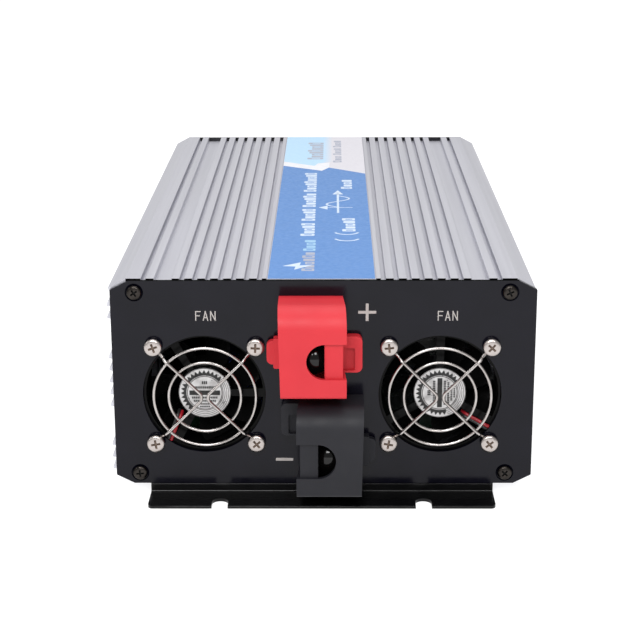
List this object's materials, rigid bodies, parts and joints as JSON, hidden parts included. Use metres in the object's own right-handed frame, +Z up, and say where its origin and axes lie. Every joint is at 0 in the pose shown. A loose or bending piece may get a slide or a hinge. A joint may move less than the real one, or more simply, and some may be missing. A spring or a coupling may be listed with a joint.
{
  "type": "power inverter",
  "caption": "Fan-cooled power inverter in a ribbed aluminium box, with capped battery studs at one end, mains outlets at the other and slotted feet.",
  "frame": {"origin": "centre of the base of the whole object's bounding box", "axes": "+X right and +Z up for someone facing the battery end, which looks along -Y; the mains end faces +Y"},
  "size_m": [0.209, 0.4246, 0.1116],
  "materials": {
    "aluminium": "satin clear-anodised extrusion",
    "black_metal": "semi-gloss black powder coat",
    "black_steel": "black oxide",
    "black_nickel": "polished black nickel",
    "nickel": "bright nickel plate",
    "fan_black": "moulded black plastic",
    "red_wire": "red wire insulation",
    "red_plastic": "satin moulded red",
    "black_plastic": "satin moulded black",
    "brass": "machined",
    "copper": "bare copper",
    "board_green": "solder-masked laminate",
    "ferrite": "sintered ferrite",
    "capacitor_blue": "heat-shrink sleeve",
    "fuse_orange": "moulded",
    "clamp_aluminium": "milled",
    "led_green": "translucent lens",
    "led_red": "translucent lens",
    "label": "printed film"
  },
  "bodies": {
    "root": {"ac_end_plate": "black_metal", "ac_plate_screw_1": "black_steel", "ac_plate_screw_2": "black_steel", "ac_plate_screw_3": "black_steel", "ac_plate_screw_4": "black_steel", "ac_socket_1": "black_plastic", "ac_socket_2": "black_plastic", "bottom_shell": "aluminium", "bus_capacitor": "capacitor_blue", "control_board": "board_green", "dc_end_plate": "black_metal", "dc_plate_screw_1": "black_steel", "dc_plate_screw_2": "black_steel", "dc_plate_screw_3": "black_steel", "dc_plate_screw_4": "black_steel", "earth_screw": "brass", "fan_frame_left": "fan_black", "fan_frame_right": "fan_black", "fan_guard_left": "nickel", "fan_guard_right": "nickel", "fan_lead_left": "red_wire", "fan_lead_right": "red_wire", "fan_screw_left_1": "nickel", "fan_screw_left_2": "nickel", "fan_screw_left_3": "nickel", "fan_screw_left_4": "nickel", "fan_screw_right_1": "nickel", "fan_screw_right_2": "nickel", "fan_screw_right_3": "nickel", "fan_screw_right_4": "nickel", "fault_indicator": "led_red", "front_foot": "black_metal", "fuse_bank": "fuse_orange", "input_capacitor": "capacitor_blue", "main_board": "board_green", "negative_base": "black_plastic", "negative_busbar": "copper", "negative_stud": "brass", "output_inductor": "copper", "positive_base": "red_plastic", "positive_busbar": "copper", "positive_stud": "brass", "power_indicator": "led_green", "power_switch_frame": "black_plastic", "rear_foot": "black_metal", "top_label": "label", "top_shell": "aluminium", "transformer_1": "ferrite", "transformer_2": "ferrite", "transistor_bank_left": "clamp_aluminium", "transistor_bank_right": "clamp_aluminium"},
    "fan_left": {"fan_rotor_left": "fan_black"},
    "fan_right": {"fan_rotor_right": "fan_black"},
    "positive_cover": {"positive_cover": "red_plastic"},
    "negative_cover": {"negative_cover": "black_plastic"},
    "positive_washer": {"positive_washer": "nickel"},
    "negative_washer": {"negative_washer": "nickel"},
    "positive_nut": {"positive_nut": "black_nickel"},
    "negative_nut": {"negative_nut": "black_nickel"},
    "power_rocker": {"power_switch_rocker": "black_plastic"}
  },
  "joints": [
    {"name": "fan_left_spin", "type": "hinge", "parent": "root", "child": "fan_left", "pos_m": [-0.0578, -0.17235, 0.053], "axis": [0, 1, 0], "continuous": true},
    {"name": "fan_right_spin", "type": "hinge", "parent": "root", "child": "fan_right", "pos_m": [0.0583, -0.17235, 0.053], "axis": [0, 1, 0], "continuous": true},
    {"name": "positive_cover_pull", "type": "slide", "parent": "root", "child": "positive_cover", "axis": [0, -1, 0], "range_m": [0, 0.045]},
    {"name": "negative_cover_pull", "type": "slide", "parent": "root", "child": "negative_cover", "axis": [0, -1, 0], "range_m": [0, 0.045]},
    {"name": "positive_washer_slide", "type": "slide", "parent": "root", "child": "positive_washer", "axis": [0, -1, 0], "range_m": [0, 0.0025]},
    {"name": "positive_nut_turn", "type": "hinge", "parent": "positive_washer", "child": "positive_nut", "pos_m": [-0.004, -0.19835, 0.076], "axis": [0, -1, 0], "range_deg": [0, 720.2]},
    {"name": "negative_washer_slide", "type": "slide", "parent": "root", "child": "negative_washer", "axis": [0, -1, 0], "range_m": [0, 0.0025]},
    {"name": "negative_nut_turn", "type": "hinge", "parent": "negative_washer", "child": "negative_nut", "pos_m": [0.004, -0.19835, 0.0255], "axis": [0, -1, 0], "range_deg": [0, 720.2]},
    {"name": "power_rocker_tilt", "type": "hinge", "parent": "root", "child": "power_rocker", "pos_m": [0.048, 0.19365, 0.084], "axis": [1, 0, 0], "range_deg": [0, 16]}
  ],
  "couplings": [
    {"joint": "positive_nut_turn", "follows": "positive_washer_slide", "rad_per_m": 5026.5},
    {"joint": "negative_nut_turn", "follows": "negative_washer_slide", "rad_per_m": 5026.5}
  ]
}
